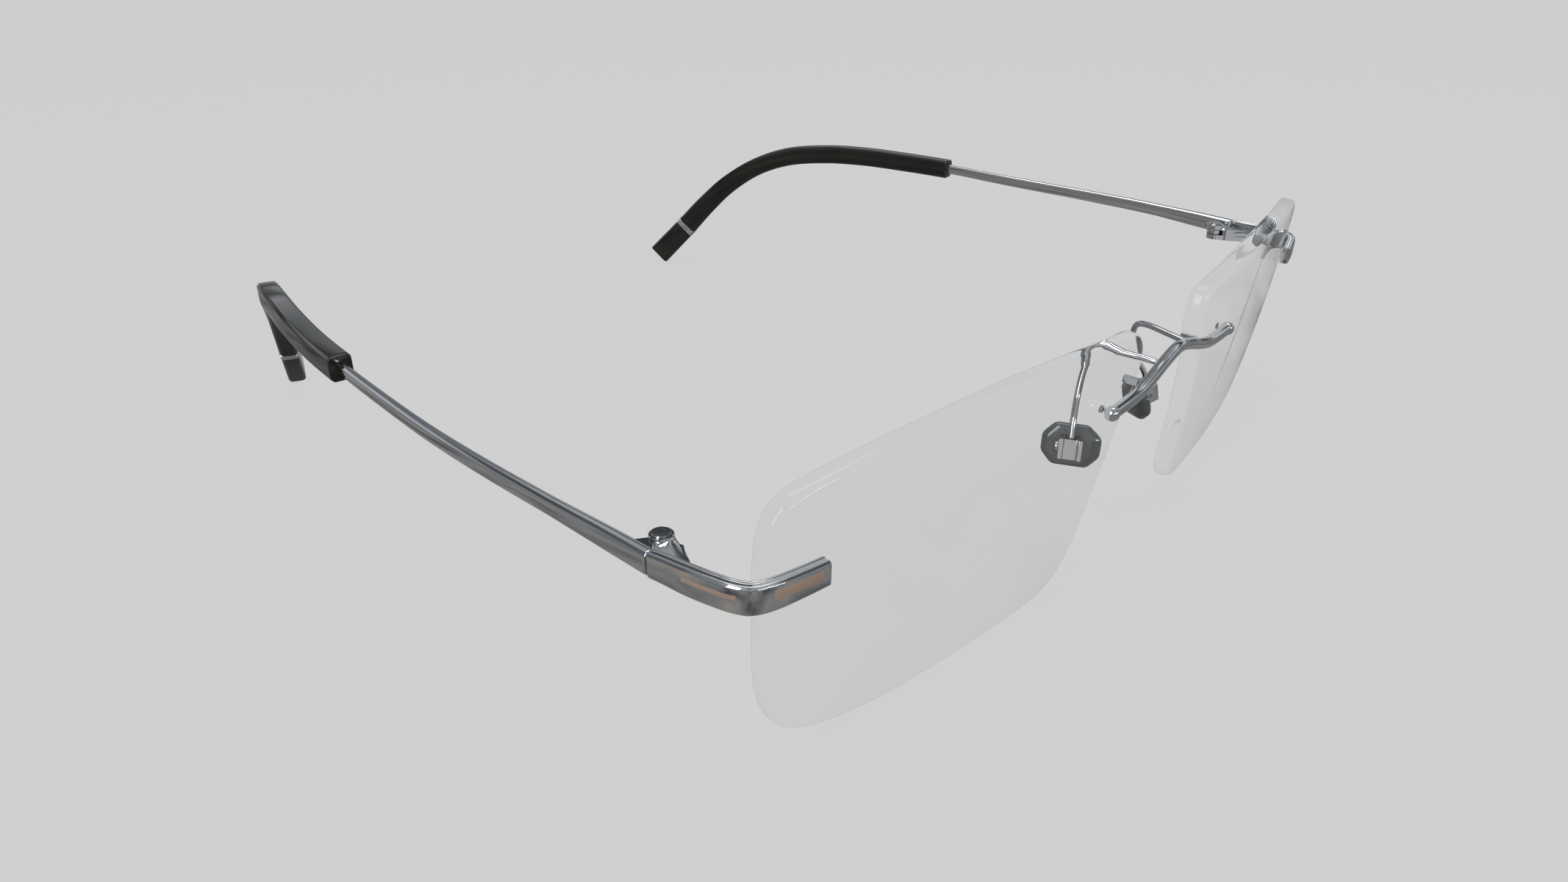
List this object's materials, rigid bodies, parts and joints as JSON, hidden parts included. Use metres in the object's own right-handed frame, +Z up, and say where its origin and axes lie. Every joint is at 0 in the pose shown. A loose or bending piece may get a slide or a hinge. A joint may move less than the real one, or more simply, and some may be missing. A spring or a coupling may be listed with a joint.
{
  "type": "rimless eyeglasses",
  "caption": "Rimless eyeglasses: clear lenses on an arched wire bridge, metal endpieces with folding temples, dark sleeves with a thin ring, and rocking nose pads.",
  "frame": {"origin": "middle of the bounding box, at the height of the lens edges and temple tips that it stands on", "axes": "+X to the wearer's left, +Y from the lenses back to the temple tips, +Z up"},
  "size_m": [0.1442, 0.1494, 0.0358],
  "materials": {
    "lens_clear": "clear, faint neutral tint, polished edges",
    "chrome_metal": "polished dark chrome plating",
    "steel_hardware": "fine turned steel",
    "silver_ring": "bright polished band",
    "bronze_enamel": "glossy warm enamel inlay",
    "bush_clear": "clear moulded plastic",
    "sleeve_black": "glossy near-black acetate with soft chamfers",
    "pad_grey": "smooth translucent grey pad"
  },
  "bodies": {
    "front": {"bridge": "chrome_metal", "lens_left": "lens_clear", "bridge_post_left": "steel_hardware", "bridge_bush_left": "bush_clear", "bridge_tab_left": "chrome_metal", "pad_arm_left": "chrome_metal", "pad_box_left": "chrome_metal", "pad_screw_left": "steel_hardware", "endpiece_left": "chrome_metal", "endpiece_front_inlay_left": "bronze_enamel", "endpiece_side_inlay_left": "bronze_enamel", "endpiece_post_left": "steel_hardware", "endpiece_bush_left": "bush_clear", "hinge_screw_left": "steel_hardware", "lens_right": "lens_clear", "bridge_post_right": "steel_hardware", "bridge_bush_right": "bush_clear", "bridge_tab_right": "chrome_metal", "pad_arm_right": "chrome_metal", "pad_box_right": "chrome_metal", "pad_screw_right": "steel_hardware", "endpiece_right": "chrome_metal", "endpiece_front_inlay_right": "bronze_enamel", "endpiece_side_inlay_right": "bronze_enamel", "endpiece_post_right": "steel_hardware", "endpiece_bush_right": "bush_clear", "hinge_screw_right": "steel_hardware"},
    "temple_left": {"temple_left": "chrome_metal", "temple_sleeve_left": "sleeve_black", "sleeve_ring_left": "silver_ring", "sleeve_end_left": "sleeve_black"},
    "pad_left": {"nose_pad_left": "pad_grey"},
    "temple_right": {"temple_right": "chrome_metal", "temple_sleeve_right": "sleeve_black", "sleeve_ring_right": "silver_ring", "sleeve_end_right": "sleeve_black"},
    "pad_right": {"nose_pad_right": "pad_grey"}
  },
  "joints": [
    {"name": "temple_left_fold", "type": "hinge", "parent": "front", "child": "temple_left", "pos_m": [0.0682, -0.05256, 0.02484], "axis": [0, -0.0297, 0.9996], "range_deg": [0, 82]},
    {"name": "temple_right_fold", "type": "hinge", "parent": "front", "child": "temple_right", "pos_m": [-0.0682, -0.05256, 0.02484], "axis": [0, 0.0297, -0.9996], "range_deg": [0, 77.5]},
    {"name": "pad_left_rock", "type": "hinge", "parent": "front", "child": "pad_left", "pos_m": [0.01104, -0.06609, 0.01688], "axis": [0.4226, 0.9059, 0.0269], "range_deg": [-9, 9]},
    {"name": "pad_right_rock", "type": "hinge", "parent": "front", "child": "pad_right", "pos_m": [-0.01104, -0.06609, 0.01688], "axis": [0.4226, -0.9059, -0.0269], "range_deg": [-9, 9]}
  ]
}
